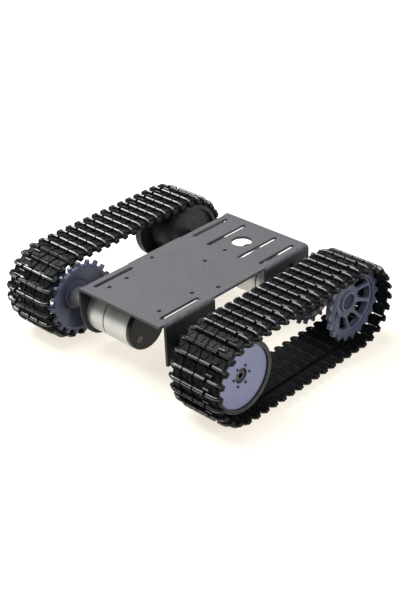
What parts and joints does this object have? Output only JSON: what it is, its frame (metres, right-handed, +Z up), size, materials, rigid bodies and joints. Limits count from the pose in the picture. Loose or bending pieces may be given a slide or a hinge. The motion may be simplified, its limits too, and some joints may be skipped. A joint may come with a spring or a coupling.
{
  "type": "tracked tank chassis",
  "caption": "Small tracked robot chassis with a slotted bent-sheet deck, two geared motors driving toothed sprockets, spoked drive wheels, dished idlers and plastic link tracks.",
  "frame": {"origin": "middle of the chassis at ground level", "axes": "+X forward along the tracks, +Y towards the left track, +Z up"},
  "size_m": [0.179, 0.208, 0.0646],
  "materials": {
    "deck_sheet": "satin black anodised",
    "track_plastic": "glossy moulded black",
    "steel": "bright",
    "sprocket_plastic": "satin slate blue",
    "disc_plastic": "satin lavender grey",
    "wheel_plastic": "satin dark grey",
    "alloy": "machined",
    "black_steel": "black oxide",
    "zinc": "bright plated",
    "black_plastic": "gloss",
    "ivory": "satin",
    "brass": "plain",
    "magnet": "plain",
    "winding": "lacquered"
  },
  "bodies": {
    "chassis": {"chassis_plate": "deck_sheet", "motor_screws": "black_steel", "motor_terminals": "ivory", "gear_pins": "steel", "output_bushes": "brass", "idler_axles": "black_steel", "idler_spacers": "alloy", "idler_nuts": "steel", "left_track_links": "track_plastic", "left_track_pins": "steel", "left_bearing_inner_rings": "steel", "left_gearbox_case": "zinc", "left_gearbox_face": "zinc", "left_gearbox_back_plate": "black_plastic", "left_motor_can": "zinc", "left_motor_end_cap": "black_plastic", "left_motor_magnets": "magnet", "right_track_links": "track_plastic", "right_track_pins": "steel", "right_bearing_inner_rings": "steel", "right_gearbox_case": "zinc", "right_gearbox_face": "zinc", "right_gearbox_back_plate": "black_plastic", "right_motor_can": "zinc", "right_motor_end_cap": "black_plastic", "right_motor_magnets": "magnet"},
    "left_sprocket": {"left_sprocket_outer": "sprocket_plastic", "left_sprocket_inner": "sprocket_plastic", "left_coupling": "alloy", "left_grub_screws": "black_steel", "left_sprocket_cap": "sprocket_plastic", "left_output_gear": "steel", "left_output_shaft": "steel"},
    "left_idler": {"left_idler_outer": "wheel_plastic", "left_idler_inner": "wheel_plastic", "left_idler_face_disc": "disc_plastic", "left_idler_disc_screws": "black_steel", "left_bearing_outer_rings": "steel"},
    "left_rotor": {"left_motor_armature": "winding", "left_motor_pinion": "brass"},
    "left_first_gear": {"left_first_gear": "brass"},
    "left_second_gear": {"left_second_gear": "brass"},
    "right_sprocket": {"right_sprocket_outer": "sprocket_plastic", "right_sprocket_inner": "sprocket_plastic", "right_coupling": "alloy", "right_grub_screws": "black_steel", "right_sprocket_cap": "sprocket_plastic", "right_output_gear": "steel", "right_output_shaft": "steel"},
    "right_idler": {"right_idler_outer": "wheel_plastic", "right_idler_inner": "wheel_plastic", "right_idler_face_disc": "disc_plastic", "right_idler_disc_screws": "black_steel", "right_bearing_outer_rings": "steel"},
    "right_rotor": {"right_motor_armature": "winding", "right_motor_pinion": "brass"},
    "right_first_gear": {"right_first_gear": "brass"},
    "right_second_gear": {"right_second_gear": "brass"}
  },
  "joints": [
    {"name": "left_sprocket_spin", "type": "hinge", "parent": "chassis", "child": "left_sprocket", "pos_m": [-0.0572, 0.077, 0.03354], "axis": [0, 1, 0], "continuous": true},
    {"name": "left_idler_spin", "type": "hinge", "parent": "chassis", "child": "left_idler", "pos_m": [0.0572, 0.078, 0.03354], "axis": [0, 1, 0], "continuous": true},
    {"name": "left_rotor_spin", "type": "hinge", "parent": "chassis", "child": "left_rotor", "pos_m": [-0.05287, 0.01, 0.03104], "axis": [0, 1, 0], "continuous": true},
    {"name": "left_first_gear_spin", "type": "hinge", "parent": "chassis", "child": "left_first_gear", "pos_m": [-0.04449, 0.026, 0.03048], "axis": [0, 1, 0], "continuous": true},
    {"name": "left_second_gear_spin", "type": "hinge", "parent": "chassis", "child": "left_second_gear", "pos_m": [-0.0486, 0.03, 0.03781], "axis": [0, 1, 0], "continuous": true},
    {"name": "right_sprocket_spin", "type": "hinge", "parent": "chassis", "child": "right_sprocket", "pos_m": [0.0572, -0.077, 0.03354], "axis": [0, 1, 0], "continuous": true},
    {"name": "right_idler_spin", "type": "hinge", "parent": "chassis", "child": "right_idler", "pos_m": [-0.0572, -0.078, 0.03354], "axis": [0, 1, 0], "continuous": true},
    {"name": "right_rotor_spin", "type": "hinge", "parent": "chassis", "child": "right_rotor", "pos_m": [0.05287, -0.01, 0.03104], "axis": [0, 1, 0], "continuous": true},
    {"name": "right_first_gear_spin", "type": "hinge", "parent": "chassis", "child": "right_first_gear", "pos_m": [0.04449, -0.026, 0.03048], "axis": [0, 1, 0], "continuous": true},
    {"name": "right_second_gear_spin", "type": "hinge", "parent": "chassis", "child": "right_second_gear", "pos_m": [0.0486, -0.03, 0.03781], "axis": [0, 1, 0], "continuous": true}
  ],
  "couplings": [
    {"joint": "left_idler_spin", "follows": "left_sprocket_spin", "ratio": 1},
    {"joint": "left_second_gear_spin", "follows": "left_sprocket_spin", "ratio": -3},
    {"joint": "left_first_gear_spin", "follows": "left_sprocket_spin", "ratio": 7.5},
    {"joint": "left_rotor_spin", "follows": "left_sprocket_spin", "ratio": -18.75},
    {"joint": "right_idler_spin", "follows": "right_sprocket_spin", "ratio": 1},
    {"joint": "right_second_gear_spin", "follows": "right_sprocket_spin", "ratio": -3},
    {"joint": "right_first_gear_spin", "follows": "right_sprocket_spin", "ratio": 7.5},
    {"joint": "right_rotor_spin", "follows": "right_sprocket_spin", "ratio": -18.75}
  ]
}
